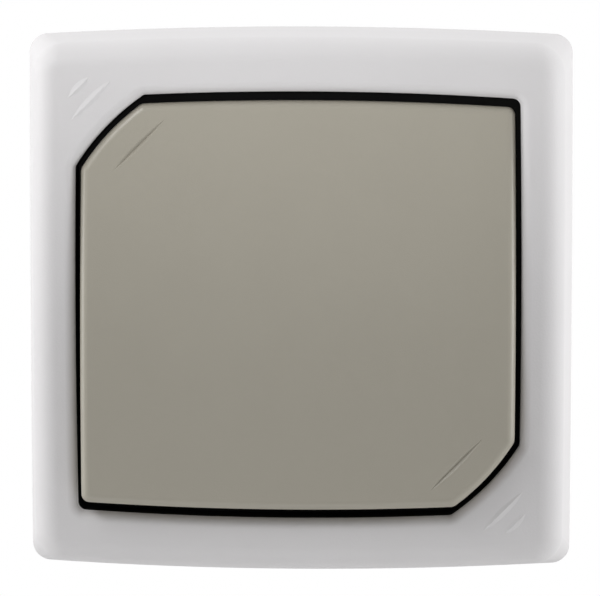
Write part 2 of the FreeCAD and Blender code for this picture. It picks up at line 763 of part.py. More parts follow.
def makeBase():
    """Moulded cup behind the cover, with a chamber for the contacts and three terminal wells."""
    body = newBody("mechanism_base")
    cup = newSketch(body, "XZ_Plane", baseBack)
    baseOutline(cup)
    pad(body, cup, f"-CoverThickness - {baseBack}")
    chamber = newSketch(body, "XZ_Plane", "-CoverThickness")
    rectangle(chamber, "ChamberWidth", "2 * TerminalInner")
    pocket(body, chamber, f"-CoverThickness - {tongueBack}")
    rivets = newSketch(body, "XZ_Plane", "-CoverThickness")
    circle(rivets, "RivetRadius", "RivetSpacing / 2", "RivetSpacing / 2")
    shank = pocket(body, rivets, f"-CoverThickness - {baseBack}")
    heads = newSketch(body, "XZ_Plane", f"{baseBack} + RivetHeadHeight")
    circle(heads, "RivetHeadRadius", "RivetSpacing / 2", "RivetSpacing / 2")
    head = pocket(body, heads, "RivetHeadHeight")
    polar(body, [shank, head], count=4, angle=360)

    span = "(TerminalOuter - TerminalInner + 2 * TerminalClearance)"
    wells = newSketch(body, "XZ_Plane", "-CoverThickness")
    rectangle(wells, "TerminalWidth + 2 * TerminalClearance", span, "0", wireCentre)
    well = pocket(body, wells, f"-CoverThickness - {terminalBack}")
    wires = newSketch(body, "XZ_Plane", terminalBack)
    circle(wires, "WireRadius + WireFunnel", "0", wireCentre)
    wire = pocket(body, wires, "BaseFloor")
    access = newSketch(body, "XY_Plane", "BaseSize / 2")
    circle(access, "ClampHeadRadius + ClampAccess", "0", f"-{clampDepth}")
    clamp = pocket(body, access, "BaseSize / 2 - TerminalOuter")
    polar(body, [well, wire, clamp], count=3, angle=180)

    arm = newSketch(body, "XZ_Plane", "-CoverThickness")
    armWidth = "TongueWidth + 2 * TerminalClearance"
    rectangle(arm, "TerminalInner", armWidth, "TerminalInner / 2", "0")
    pocket(body, arm, f"-CoverThickness - {tongueBack}")
    return body


def makePin():
    """Steel pin in the cover's ears, on which the toggle turns."""
    body = newBody("pivot_pin")
    sketch = newSketch(body, "YZ_Plane")
    circle(sketch, "PinRadius", "-PivotDepth", "0")
    padMiddle(body, sketch, "TowerWidth")
    return body


def makeToggle():
    """Carrier under the rocker, drawn about the pivot: a hub, a plate and a hollow arm."""
    body = newBody("toggle")
    hub = newSketch(body, "YZ_Plane")
    circle(hub, "HubRadius")
    padMiddle(body, hub, toggleWidth)
    plate = newSketch(body, "XZ_Plane", "TogglePlateBack")
    rectangle(plate, toggleWidth, "TogglePlateHeight")
    pad(body, plate, "TogglePlateWall")
    arm = newSketch(body, "XZ_Plane", "-ArmLength")
    circle(arm, "ArmRadius")
    pad(body, arm, "ArmLength")
    pin = newSketch(body, "YZ_Plane", f"{toggleWidth} / 2")
    circle(pin, "PinRadius + PinClearance")
    pocket(body, pin, toggleWidth)
    bore = newSketch(body, "XZ_Plane", "-SpringSeat")
    circle(bore, "PlungerRadius + PlungerClearance")
    pocket(body, bore, "ArmLength - SpringSeat")
    tilt(body, "-RestTilt", "-PivotDepth")
    return body


def makeRocker():
    """Rocker shell, drawn about the pivot, with clip legs that snap on to the toggle."""
    body = newBody("rocker")
    gaps = ("RockerSideGap", "RockerEndGap", "RockerCutGap")
    shell = newSketch(body, "XZ_Plane", rockerBack)
    rockerOutline(shell, *gaps, "OpeningCorner", "RockerBlend")
    pad(body, shell, f"{rockerFace} - {rockerBack}")
    front = closeBy - value(rockerFace)
    roundEdges(body, "RockerEdge", lambda edge: edge.BoundBox.YMax < front)
    hollow = newSketch(body, "XZ_Plane", rockerInside)
    walls = [f"{gap} + RockerSkirtWall" for gap in gaps]
    rockerOutline(hollow, *walls, "OpeningCorner", "RockerBlend")
    pocket(body, hollow, f"{rockerInside} - {rockerBack}")

    ribs = newSketch(body, "XZ_Plane", f"{rockerInside} - RockerRibHeight")
    for side in ("", "-"):
        rectangle(ribs, "RockerRibWall", "RockerRibSpacing", f"{side}RockerRibSpacing / 2")
    pad(body, ribs, "RockerRibHeight")
    bars = newSketch(body, "XZ_Plane", f"{rockerInside} - RockerRibHeight")
    for side in ("", "-"):
        rectangle(bars, "RockerRibSpacing", "RockerRibWall", "0", f"{side}RockerRibSpacing / 2")
    pad(body, bars, "RockerRibHeight")

    edge = "(TogglePlateHeight / 2 + LegClearance)"
    hookBack = "(TogglePlateBack - LegClearance - HookHeight)"
    legs = newSketch(body, "XZ_Plane", hookBack)
    for side in ("", "-"):
        rectangle(legs, "LegWidth", "LegThickness", "0", f"{side}({edge} + LegThickness / 2)")
    pad(body, legs, f"{rockerInside} - {hookBack}")
    hooks = newSketch(body, "XZ_Plane", hookBack)
    for side in ("", "-"):
        place = f"{side}({edge} + (LegThickness - HookReach) / 2)"
        rectangle(hooks, "LegWidth", "LegThickness + HookReach", "0", place)
    pad(body, hooks, "HookHeight")

    cutMarks(body)
    tilt(body, "-RestTilt", "-PivotDepth")
    return body


def cutMarks(body):
    """Two pointed grooves in the rocker's face, as a thin bevelled disc would cut them."""
    disc = "(MarkLength^2 / (8 * MarkDepth) + MarkDepth / 2)"
    sketch = newSketch(body, "XY_Plane", "0", diagonal)
    for side in ("-", ""):
        middle = f"{side}MarkDistance"
        # the wedge is as high in front of the face as it is deep, and so twice the mark's width there
        polygon(
            sketch,
            [
                (middle, f"-({rockerFace} - MarkDepth)"),
                (f"{middle} + MarkWidth", f"-({rockerFace} + MarkDepth)"),
                (f"{middle} - MarkWidth", f"-({rockerFace} + MarkDepth)"),
            ],
        )
    addAxis(sketch, f"-({rockerFace} + {disc} - MarkDepth)")
    turned(body, "Groove", sketch, (sketch, ["Axis0"]))


def makePlunger():
    """Round-nosed plunger in the toggle's arm, drawn about the pivot."""
    body = newBody("plunger")
    rod = newSketch(body, "XZ_Plane", "-PlungerReach")
    circle(rod, "PlungerRadius")
    pad(body, rod, "PlungerLength")
    tip = value("PlungerReach") - closeBy
    roundEdges(body, "PlungerRadius - PlungerFlat", lambda edge: edge.BoundBox.YMin > tip)
    tilt(body, "-RestTilt", "-PivotDepth")
    return body


def makeSpring():
    """Coil spring between the arm's bore and the plunger, drawn about the pivot."""
    spring = doc.addObject("Part::Feature", "Spring")
    spring.Label = "plunger_spring"
    wire = value("SpringWire / 2")
    start = value("SpringSeat + SpringWire / 2 + SpringEndGap")
    end = value("PlungerReach - PlungerLength - SpringWire / 2 - SpringEndGap")
    radius, turns = value("SpringRadius"), value("SpringTurns")
    helix = Part.makeHelix((end - start) / turns, end - start, radius)
    across = Part.makeCircle(wire, Vector(radius, 0, 0), Vector(0, 1, 0))
    coil = Part.Wire(helix).makePipeShell([Part.Wire(across)], True, True)
    spring.Shape = coil
    # the helix is made along Z, and the spring runs along Y from its seat
    seat = Placement(Vector(0, start, 0), Rotation(Vector(1, 0, 0), -90))
    pivot = Placement(
        Vector(0, -value("PivotDepth"), 0), Rotation(Vector(1, 0, 0), -value("RestTilt"))
    )
    spring.Placement = pivot.multiply(seat)
    return spring


def makeSeesaw():
    """Brass contact arm, drawn about its pivot: it rocks on the common terminal's knife edge."""
    body = newBody("contact_seesaw")
    blade = newSketch(body, "XZ_Plane")
    rectangle(blade, "SeesawWidth", "SeesawLength")
    for side in ("", "-"):
        circle(blade, "ContactShank", "0", f"{side}ContactSpacing / 2")
    pad(body, blade, "SeesawThickness")
    groove = newSketch(body, "YZ_Plane", "SeesawWidth / 2")
    circle(groove, "KnifeRadius + KnifeClearance")
    pocket(body, groove, "SeesawWidth")
    tilt(body, "SeesawTilt", f"-{seesawDepth}")
    return body


def makeMovingContact(label, side):
    """Silver rivet in one end of the contact arm, with a domed head."""
    body = newBody(label)
    profile = newSketch(body, "XY_Plane")
    domedHead(profile)
    turned(body, "Revolution", profile, (originPart(body, "Y_Axis"), [""]))
    shank = newSketch(body, "XZ_Plane", "0")
    circle(shank, "ContactShank")
    pad(body, shank, "SeesawThickness")
    place = f"{side}ContactSpacing / 2"
    back = f"-{seesawDepth} - ({place}) * sin(SeesawTilt)"
    tilt(body, "SeesawTilt", back, f"({place}) * cos(SeesawTilt)")
    return body


def domedHead(sketch):
    """Half section of a contact's head: a flat rim with a dome on it, towards +Y."""
    radius, ball = value("ContactRadius"), value(contactBall)
    rim, top = value("ContactHeight - ContactRim"), value("ContactHeight")
    centre = Vector(0, top - ball, 0)
    lean = math.asin(radius / ball)
    spots = [Vector(0, top, 0), Vector(0, 0, 0), Vector(radius, 0, 0), Vector(radius, rim, 0)]
    lines = [Part.LineSegment(a, b) for a, b in zip(spots, spots[1:])]
    ring = Part.Circle(centre, Vector(0, 0, 1), ball)
    arc = Part.ArcOfCircle(ring, math.pi / 2 - lean, math.pi / 2)
    ids = sketch.addGeometry(lines + [arc])
    for here, after in zip(ids, list(ids[1:]) + [ids[0]]):
        sketch.addConstraint(Sketcher.Constraint("Coincident", here, 2, after, 1))
    fixPoint(sketch, ids[0], 1, "0", "ContactHeight")
    fixPoint(sketch, ids[1], 1, "0", "0")
    fixPoint(sketch, ids[2], 1, "ContactRadius", "0")
    fixPoint(sketch, ids[3], 1, "ContactRadius", "ContactHeight - ContactRim")
    dimension(sketch, "Radius", (ids[3],), contactBall)


def makeFixedContact(label, side):
    """Silver rivet in a terminal's tongue, under one end of the contact arm."""
    body = newBody(label)
    head = newSketch(body, "XZ_Plane", tongueFront)
    circle(head, "FixedContactRadius", "0", f"{side}ContactSpacing / 2")
    pad(body, head, "FixedContactHeight")
    shank = newSketch(body, "XZ_Plane", tongueBack)
    circle(shank, "ContactShank", "0", f"{side}ContactSpacing / 2")
    pad(body, shank, "TongueThickness")
    return body


def addTerminalBlock(body):
    """Brass block with a wire bore from behind and a clamp screw's hole from outside."""
    block = newSketch(body, "XZ_Plane", terminalBack)
    rectangle(block, "TerminalWidth", "TerminalOuter - TerminalInner", "0", wireCentre)
    pad(body, block, "TerminalDepth")
    wire = newSketch(body, "XZ_Plane", f"{terminalBack} + WireDepth")
    circle(wire, "WireRadius", "0", wireCentre)
    pocket(body, wire, "WireDepth")
    clamp = newSketch(body, "XY_Plane", "TerminalOuter")
    circle(clamp, "ClampRadius", "0", f"-{clampDepth}")
    pocket(body, clamp, f"TerminalOuter - {wireCentre}")


def makeTerminal(label, angle):
    """Switched terminal: a block and a tongue that carries the fixed contact."""
    body = newBody(label)
    addTerminalBlock(body)
    tongue = newSketch(body, "XZ_Plane", tongueBack)
    rectangle(tongue, "TongueWidth", "TerminalInner + TerminalClearance - TongueTip", "0",
              "(TerminalInner + TerminalClearance + TongueTip) / 2")
    circle(tongue, "ContactShank", "0", "ContactSpacing / 2")
    pad(body, tongue, "TongueThickness")
    spin(body, angle)
    return body


def makeCommonTerminal(angle):
    """Common terminal: a block and an arm with the knife edge that the contact arm rocks on."""
    body = newBody("common_terminal")
    addTerminalBlock(body)
    arm = newSketch(body, "XZ_Plane", tongueBack)
    rectangle(arm, "TongueWidth", "TerminalInner + TerminalClearance + SeesawWidth / 2", "0",
              "(TerminalInner + TerminalClearance - SeesawWidth / 2) / 2")
    pad(body, arm, "TongueThickness")
    post = newSketch(body, "XZ_Plane", tongueBack)
    rectangle(post, "2 * KnifeRadius", "SeesawWidth")
    pad(body, post, f"{seesawDepth} - {tongueBack}")
    knife = newSketch(body, "XY_Plane", "-SeesawWidth / 2")
    circle(knife, "KnifeRadius", "0", f"-{seesawDepth}")
    pad(body, knife, "SeesawWidth")
    spin(body, angle)
    return body


def makeClampScrews():
    """Three slotted clamp screws, one on each terminal."""
    body = newBody("terminal_screws")
    tip = f"({wireCentre} + WireRadius + ClampTipGap)"
    shank = newSketch(body, "XY_Plane", tip)
    circle(shank, "ClampRadius", "0", f"-{clampDepth}")
    first = pad(body, shank, f"TerminalOuter + ClampHeadGap - {tip}")
    head = newSketch(body, "XY_Plane", "TerminalOuter + ClampHeadGap")
    circle(head, "ClampHeadRadius", "0", f"-{clampDepth}")
    second = pad(body, head, "ClampHeadHeight")
    slot = newSketch(body, "XY_Plane", "TerminalOuter + ClampHeadGap + ClampHeadHeight")
    rectangle(slot, "3 * ClampHeadRadius", "SlotWidth", "0", f"-{clampDepth}")
    third = pocket(body, slot, "SlotDepth")
    polar(body, [first, second, third], count=3, angle=180)
    return body


pieces = [
    makeFrame(),
    makeGasket(),
    makePlate(),
    makeRivets(),
    makeMembrane(),
    makeCover(),
    makeBase(),
    makePin(),
    makeToggle(),
    makeRocker(),
    makePlunger(),
    makeSpring(),
    makeSeesaw(),
    makeMovingContact("upper_moving_contact", ""),
    makeMovingContact("lower_moving_contact", "-"),
    makeFixedContact("upper_fixed_contact", ""),
    makeFixedContact("lower_fixed_contact", "-"),
    makeTerminal("upper_terminal", 0),
    makeTerminal("lower_terminal", 180),
    makeCommonTerminal(90),
    makeClampScrews(),
]
doc.recompute()
for item in doc.Objects:
    if "Invalid" in item.State or "Error" in item.State:
        raise RuntimeError(f"{item.Label} ({item.Name}) could not be built: {item.State}")
for piece in pieces:
    if piece.Shape.isNull() or not piece.Shape.isValid():
        raise RuntimeError(f"{piece.Label} has no valid shape")
for piece in pieces:
    piece.Shape.exportStep(f"parts/{piece.Label}.step")
    print(piece.Label, len(piece.Shape.Solids), round(piece.Shape.Volume, 2))
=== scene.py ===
import math

import bmesh
import bpy
from mathutils import Matrix, Vector
from mathutils.geometry import intersect_sphere_sphere_2d


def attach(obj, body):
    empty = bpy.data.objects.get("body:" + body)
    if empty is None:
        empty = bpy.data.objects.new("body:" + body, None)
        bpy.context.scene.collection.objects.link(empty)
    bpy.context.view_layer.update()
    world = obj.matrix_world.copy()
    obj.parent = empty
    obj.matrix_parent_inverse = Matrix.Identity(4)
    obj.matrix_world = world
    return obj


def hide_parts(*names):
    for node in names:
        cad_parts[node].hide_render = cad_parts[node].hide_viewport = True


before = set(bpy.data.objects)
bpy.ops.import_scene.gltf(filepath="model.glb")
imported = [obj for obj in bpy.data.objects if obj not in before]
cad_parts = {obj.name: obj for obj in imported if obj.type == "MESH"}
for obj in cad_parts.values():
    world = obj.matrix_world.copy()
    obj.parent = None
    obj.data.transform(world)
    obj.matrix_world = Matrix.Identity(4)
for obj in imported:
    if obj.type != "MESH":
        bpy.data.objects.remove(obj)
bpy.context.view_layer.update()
print("frame loaded:", len(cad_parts), "nodes")

mm = 0.001  # meshes are drawn in millimetres and scaled to metres when they are finished
towardsViewer = (0, -1, 0)
markTurns = [math.radians(turn) for turn in (-135, 45)]  # to the upper left and the lower right

# Outlines are drawn with x to the right and y up; depth is the distance in front of the wall

cover = dict(
    width=84.0, height=84.4,
    endBow=700.0, sideBow=6000.0,
    sideSteps=26, endSteps=26,
    smallCornerSteps=10, largeCornerSteps=26,  # the large ones lie beside the cut corners
)

opening = dict(
    width=68.0, height=65.3,
    endBow=523.0, sideBow=1850.0,
    corner=1.3,
    cutRadius=37.0, cutCentre=(2.5, 1.6), cutBlend=1.0,
    sideSteps=26, endSteps=26, cornerSteps=10,
    cutSteps=16, blendSteps=5,
)

rightward, upward = Vector((1, 0)), Vector((0, 1))
upperLeft = Vector((-1, 1)).normalized()


# Each arc is (centre, radius, way it faces, rounding after it, its steps, the rounding's steps)
def coverArcs(inset, corner):
    endCentre = upward * (cover["endBow"] - cover["height"] / 2)
    sideCentre = rightward * (cover["sideBow"] - cover["width"] / 2)
    endBow, sideBow = cover["endBow"] - inset, cover["sideBow"] - inset
    small, large = cover["smallCornerSteps"], cover["largeCornerSteps"]
    return [
        (-sideCentre, sideBow, rightward, corner, cover["sideSteps"], small),
        (-endCentre, endBow, upward, corner, cover["endSteps"], large),
        (sideCentre, sideBow, -rightward, corner, cover["sideSteps"], small),
        (endCentre, endBow, -upward, corner, cover["endSteps"], large),
    ]


# The opening's outline moved in by a gap at its sides, ends and cut corners
def openingArcs(sideGap, endGap, cutGap, corner, blend):
    endCentre = upward * (opening["endBow"] - opening["height"] / 2)
    sideCentre = rightward * (opening["sideBow"] - opening["width"] / 2)
    across, up = opening["cutCentre"]
    cutCentre = Vector((-across, up))
    sideBow, endBow = opening["sideBow"] - sideGap, opening["endBow"] - endGap
    cutBow = opening["cutRadius"] - cutGap
    side, end, cut = opening["sideSteps"], opening["endSteps"], opening["cutSteps"]
    full, soft = opening["cornerSteps"], opening["blendSteps"]
    return [
        (-sideCentre, sideBow, rightward, corner, side, full),
        (-endCentre, endBow, upward, blend, end, soft),
        (cutCentre, cutBow, upperLeft, blend, cut, soft),
        (sideCentre, sideBow, -rightward, corner, side, full),
        (endCentre, endBow, -upward, blend, end, soft),
        (-cutCentre, cutBow, -upperLeft, blend, cut, soft),
    ]


def evenOpeningArcs(outset, grow=0.0):
    corner, blend = opening["corner"] + grow, opening["cutBlend"] + grow
    return openingArcs(-outset, -outset, -outset, corner, blend)


def spinOn(bm, vertex, centre, target, depth, steps):
    start = Vector((vertex.co.x, vertex.co.z)) - centre
    turn = -start.angle_signed(target - centre)
    made = bmesh.ops.spin(
        bm, geom=[vertex], cent=(centre.x, -depth, centre.y), axis=towardsViewer,
        angle=turn, steps=steps, use_merge=False, use_duplicate=False,
    )
    return [item for item in made["geom_last"] if isinstance(item, bmesh.types.BMVert)][0]


# A closed loop of edges along the arcs, each rounded into the next; a surface may set its depths
def drawLoop(bm, arcs, depth, surface=None):
    earlier = set(bm.edges)
    roundings = []
    for arc, nextArc in zip(arcs, arcs[1:] + arcs[:1]):
        centre, radius, facing, rounding = arc[:4]
        nextCentre, nextRadius, nextFacing = nextArc[:3]
        spots = intersect_sphere_sphere_2d(
            centre, radius - rounding, nextCentre, nextRadius - rounding
        )
        roundings.append(max(spots, key=(facing + nextFacing).dot))

    def onArc(index, spot):
        centre, radius = arcs[index][:2]
        return centre + (spot - centre).normalized() * radius

    start = onArc(0, roundings[-1])
    first = last = bm.verts.new((start.x, -depth, start.y))
    for index, (centre, *_, steps, roundSteps) in enumerate(arcs):
        last = spinOn(bm, last, centre, onArc(index, roundings[index]), depth, steps)
        nextStart = onArc((index + 1) % len(arcs), roundings[index])
        last = spinOn(bm, last, roundings[index], nextStart, depth, roundSteps)
    bmesh.ops.weld_verts(bm, targetmap={last: first})
    loop = [edge for edge in bm.edges if edge not in earlier]
    if surface:
        for vertex in {vertex for edge in loop for vertex in edge.verts}:
            vertex.co.y = -surface(vertex.co.x, vertex.co.z)
    return loop


# Each pair of loops is pulled apart while it is joined, because loops in one plane would twist
def bridgeAll(bm, loops, closed=False, apart=500):
    pairs = list(zip(loops, loops[1:]))
    if closed:
        pairs.append((loops[-1], loops[0]))
    for here, after in pairs:
        moved = list({vertex for edge in after for vertex in edge.verts})
        bmesh.ops.translate(bm, vec=(0, apart, 0), verts=moved)
        bmesh.ops.bridge_loops(bm, edges=here + after)
        bmesh.ops.translate(bm, vec=(0, -apart, 0), verts=moved)


def capLoop(bm, loop):
    bmesh.ops.contextual_create(bm, geom=loop)


# A box between two depths, with its edges broken
def addBlock(bm, width, height, lowDepth, highDepth, x=0.0, z=0.0, edge=0.12):
    made = bmesh.ops.create_cube(bm, size=1.0)["verts"]
    bmesh.ops.scale(bm, vec=(width, highDepth - lowDepth, height), verts=made)
    bmesh.ops.translate(bm, vec=(x, -(lowDepth + highDepth) / 2, z), verts=made)
    edges = list({edge for vertex in made for edge in vertex.link_edges})
    bmesh.ops.bevel(
        bm, geom=edges, offset=edge, segments=2, profile=0.5, affect="EDGES", material=-1
    )


def sharpEdges(bm, angle=60):
    limit = math.radians(angle)
    return [edge for edge in bm.edges if edge.is_manifold and edge.calc_face_angle() > limit]


def addObject(bm, name):
    mesh = bpy.data.meshes.new(name)
    bm.to_mesh(mesh)
    bm.free()
    made = bpy.data.objects.new(name, mesh)
    bpy.context.scene.collection.objects.link(made)
    return made


# A triangle swept along an arc about an axis in X, half of the arc to each side
def sweepTriangle(bm, corners, centre, half, steps):
    triangle = bm.faces.new([bm.verts.new(corner) for corner in corners])
    start = list(triangle.verts)
    bmesh.ops.rotate(bm, cent=centre, matrix=Matrix.Rotation(-half, 3, "X"), verts=start)
    made = bmesh.ops.spin(
        bm, geom=[triangle, *triangle.edges, *start], cent=centre, axis=(1, 0, 0),
        angle=2 * half, steps=steps, use_duplicate=False,
    )
    return [item for item in made["geom_last"] if isinstance(item, bmesh.types.BMVert)]


# Turns the drawn mesh into a piece of the object that moves with a body
def finishPiece(bm, name, body, material, nodes, sharpAngle=32):
    bmesh.ops.recalc_face_normals(bm, faces=bm.faces)
    bmesh.ops.scale(bm, vec=(mm, mm, mm), verts=bm.verts)
    piece = addObject(bm, name)
    piece.data.shade_smooth()
    piece.data.set_sharp_from_angle(angle=math.radians(sharpAngle))
    weighted = piece.modifiers.new("evenShading", "WEIGHTED_NORMAL")
    weighted.keep_sharp = True
    piece.data.materials.append(material)
    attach(piece, body)
    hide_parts(*nodes)
    print("made", name, len(piece.data.polygons), "faces")
    return piece


# Materials: each finish is a few numbers, and all of them are built by the same nodes

finishes = dict(
    whitePlastic=dict(
        light=(0.672, 0.660, 0.666), dark=(0.642, 0.630, 0.636), cloud=0.018,
        roughness=(0.50, 0.60), grain=0.00035, bump=0.00002, metallic=0.0,
    ),
    champagnePlastic=dict(
        light=(0.372, 0.349, 0.292), dark=(0.351, 0.328, 0.274), cloud=0.014,
        roughness=(0.26, 0.34), grain=0.00018, bump=0.00002, metallic=0.0,
    ),
    softMembrane=dict(
        light=(0.014, 0.013, 0.013), dark=(0.008, 0.008, 0.008), cloud=0.006,
        roughness=(0.6, 0.75), grain=0.0003, bump=0.00004, metallic=0.0, shine=0.12,
    ),
    blackRubber=dict(
        light=(0.030, 0.030, 0.031), dark=(0.018, 0.018, 0.019), cloud=0.008,
        roughness=(0.62, 0.82), grain=0.0004, bump=0.00008, metallic=0.0,
    ),
    greyMoulding=dict(
        light=(0.56, 0.56, 0.53), dark=(0.50, 0.50, 0.475), cloud=0.012,
        roughness=(0.45, 0.6), grain=0.0005, bump=0.00006, metallic=0.0,
    ),
    naturalMoulding=dict(
        light=(0.62, 0.61, 0.57), dark=(0.57, 0.56, 0.52), cloud=0.008,
        roughness=(0.4, 0.52), grain=0.0004, bump=0.00004, metallic=0.0,
    ),
    zincPlate=dict(
        light=(0.62, 0.63, 0.63), dark=(0.46, 0.47, 0.48), cloud=0.006,
        roughness=(0.24, 0.42), grain=0.0006, bump=0.000006, metallic=1.0,
    ),
    drawnSteel=dict(
        light=(0.56, 0.56, 0.56), dark=(0.44, 0.44, 0.45), cloud=0.003,
        roughness=(0.2, 0.34), grain=0.0003, bump=0.000003, metallic=1.0,
    ),
    stampedBrass=dict(
        light=(0.78, 0.58, 0.27), dark=(0.60, 0.41, 0.17), cloud=0.005,
        roughness=(0.22, 0.4), grain=0.0005, bump=0.000005, metallic=1.0,
    ),
    contactSilver=dict(
        light=(0.80, 0.80, 0.78), dark=(0.66, 0.65, 0.62), cloud=0.002,
        roughness=(0.2, 0.36), grain=0.0003, bump=0.000003, metallic=1.0,
    ),
)


def noise(nodes, links, place, size, detail):
    texture = nodes.new("ShaderNodeTexNoise")
    texture.inputs["Scale"].default_value = 1 / size
    texture.inputs["Detail"].default_value = detail
    links.new(place.outputs["Object"], texture.inputs["Vector"])
    return texture.outputs["Fac"]


def smoothRange(nodes, fromMin, fromMax, toMin, toMax):
    ranged = nodes.new("ShaderNodeMapRange")
    ranged.interpolation_type = "SMOOTHSTEP"
    ranged.inputs["From Min"].default_value = fromMin
    ranged.inputs["From Max"].default_value = fromMax
    ranged.inputs["To Min"].default_value = toMin
    ranged.inputs["To Max"].default_value = toMax
    return ranged


def makeFinish(name, look):
    material = bpy.data.materials.new(name)
    material.use_nodes = True
    nodes, links = material.node_tree.nodes, material.node_tree.links
    shader = nodes["Principled BSDF"]
    place = nodes.new("ShaderNodeTexCoord")

    cloudy = noise(nodes, links, place, look["cloud"], detail=3)
    tint = nodes.new("ShaderNodeMix")
    tint.data_type = "RGBA"
    tint.inputs["A"].default_value = (*look["dark"], 1)
    tint.inputs["B"].default_value = (*look["light"], 1)
    links.new(cloudy, tint.inputs["Factor"])
    links.new(tint.outputs["Result"], shader.inputs["Base Color"])

    grain = noise(nodes, links, place, look["grain"], detail=2)
    sheen = nodes.new("ShaderNodeMapRange")
    sheen.inputs["To Min"].default_value, sheen.inputs["To Max"].default_value = look["roughness"]
    links.new(grain, sheen.inputs["Value"])
    links.new(sheen.outputs["Result"], shader.inputs["Roughness"])

    relief = nodes.new("ShaderNodeBump")
    relief.inputs["Distance"].default_value = look["bump"]
    links.new(grain, relief.inputs["Height"])
    links.new(relief.outputs["Normal"], shader.inputs["Normal"])
    shader.inputs["Metallic"].default_value = look["metallic"]
    if "shine" in look:
        shader.inputs["Specular IOR Level"].default_value = look["shine"]
    return material


materials = {name: makeFinish(name, look) for name, look in finishes.items()}
print("materials made:", len(materials))

# Nodes that keep their own mesh, by finish

keptNodes = dict(
    greyMoulding=["mechanism_cover", "mechanism_base"],
    naturalMoulding=["toggle", "plunger"],
    zincPlate=["support_plate", "mounting_rivets", "terminal_screws"],
    drawnSteel=["pivot_pin", "plunger_spring"],
    stampedBrass=["contact_seesaw", "upper_terminal", "lower_terminal", "common_terminal"],
    contactSilver=[
        "upper_moving_contact", "lower_moving_contact",
        "upper_fixed_contact", "lower_fixed_contact",
    ],
)

for finish, names in keptNodes.items():
    for name in names:
        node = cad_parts[name]
        if not node.material_slots:
            node.data.materials.append(materials[finish])
        for slot in node.material_slots:
            slot.material = materials[finish]
print("kept nodes dressed")

# Cover frame: a drafted wall, a large roll into a slightly domed face, a small roll into the opening

coverFrame = dict(
    rimDepth=0.4, rimCorner=2.9, rimTrim=0.015,
    draft=1.3, faceCorner=4.6,
    domeApex=13.042, domeRadius=900.0,
    roll=3.9, rollSteps=14,
    openingRoll=1.6, openingRollSteps=9,
    wall=2.0, roofDepth=10.4,
    seatDepth=10.75, seat=0.6,
    skirt=1.4, skirtBack=5.2,
    rib=(3.6, 5.0), ribBack=1.6, ribCorner=2.0,
    strokeHeight=0.2, strokeWidth=1.1, strokeRoot=0.5, strokeSteps=16,
    strokes=((44.3, 8.5), (47.0, 4.3)),  # distance from the middle and length
    nub=(1.5, 4.6), nubDepths=(3.0, 4.2), nubX=36.45, nubZ=18.0,
)


def domeDepth(x, z, below=0.0):
    radius = coverFrame["domeRadius"]
    return coverFrame["domeApex"] - radius + math.sqrt(radius**2 - x**2 - z**2) - below


def coverLoops(bm):
    c = coverFrame
    loops = [drawLoop(bm, coverArcs(c["rimTrim"], c["rimCorner"]), c["rimDepth"])]
    steep = math.atan(c["draft"] / (c["domeApex"] - c["rimDepth"]))
    for step in range(c["rollSteps"] + 1):
        angle = steep + (math.pi / 2 - steep) * step / c["rollSteps"]
        inset = c["roll"] * (math.cos(steep) - math.cos(angle))
        below = c["roll"] * (1 - math.sin(angle))
        arcs = coverArcs(c["draft"] + inset, c["faceCorner"] - inset)
        loops.append(drawLoop(bm, arcs, 0, lambda x, z: domeDepth(x, z, below)))
    for step in range(c["openingRollSteps"] + 1):
        angle = math.pi / 2 * step / c["openingRollSteps"]
        outset = c["openingRoll"] * (1 - math.sin(angle))
        below = c["openingRoll"] * (1 - math.cos(angle))
        arcs = evenOpeningArcs(outset, outset)
        loops.append(drawLoop(bm, arcs, 0, lambda x, z: domeDepth(x, z, below)))
    outerSkirt = c["seat"] + c["skirt"]
    for outset, depth in (
        (0, c["seatDepth"]), (c["seat"], c["seatDepth"]), (c["seat"], c["skirtBack"]),
        (outerSkirt, c["skirtBack"]), (outerSkirt, c["roofDepth"]),
    ):
        loops.append(drawLoop(bm, evenOpeningArcs(outset), depth))
    ribOuter, ribInner = c["rib"]
    for inset, depth in (
        (ribInner, c["roofDepth"]), (ribInner, c["ribBack"]), (ribOuter, c["ribBack"]),
        (ribOuter, c["roofDepth"]), (c["wall"] + c["draft"], c["roofDepth"]), (c["wall"], c["rimDepth"]),
    ):
        loops.append(drawLoop(bm, coverArcs(inset, c["ribCorner"]), depth))
    return loops


# A raised stroke, pointed at both ends because its ridge is part of a large circle
def addStroke(bm, distance, length, turn):
    height, root = coverFrame["strokeHeight"], coverFrame["strokeRoot"]
    face = domeDepth(distance, 0)
    sweep = length**2 / (8 * height) + height / 2
    half = math.asin(length / 2 / sweep)
    spread = coverFrame["strokeWidth"] / 2 * (height + root) / height
    corners = [
        (distance, -face - height, 0),
        (distance - spread, -face + root, 0),
        (distance + spread, -face + root, 0),
    ]
    centre = (0, sweep - face - height, 0)
    ends = sweepTriangle(bm, corners, centre, half, coverFrame["strokeSteps"])
    shell = connected(ends)
    bmesh.ops.rotate(bm, cent=(0, 0, 0), matrix=Matrix.Rotation(turn, 3, "Y"), verts=shell)


def connected(start):
    found, waiting = set(start), list(start)
    while waiting:
        for edge in waiting.pop().link_edges:
            for vertex in edge.verts:
                if vertex not in found:
                    found.add(vertex)
                    waiting.append(vertex)
    return list(found)


def makeCover():
    c = coverFrame
    bm = bmesh.new()
    bridgeAll(bm, coverLoops(bm), closed=True)
    for distance, length in c["strokes"]:
        for turn in markTurns:
            addStroke(bm, distance, length, turn)
    for x in (-c["nubX"], c["nubX"]):
        for z in (-c["nubZ"], c["nubZ"]):
            addBlock(bm, *c["nub"], *c["nubDepths"], x, z)
    return finishPiece(bm, "cover_frame", "housing", materials["whitePlastic"], ["frame"])


makeCover()

# Rocker: a shell drawn about its pivot, turned to its rest position at the end

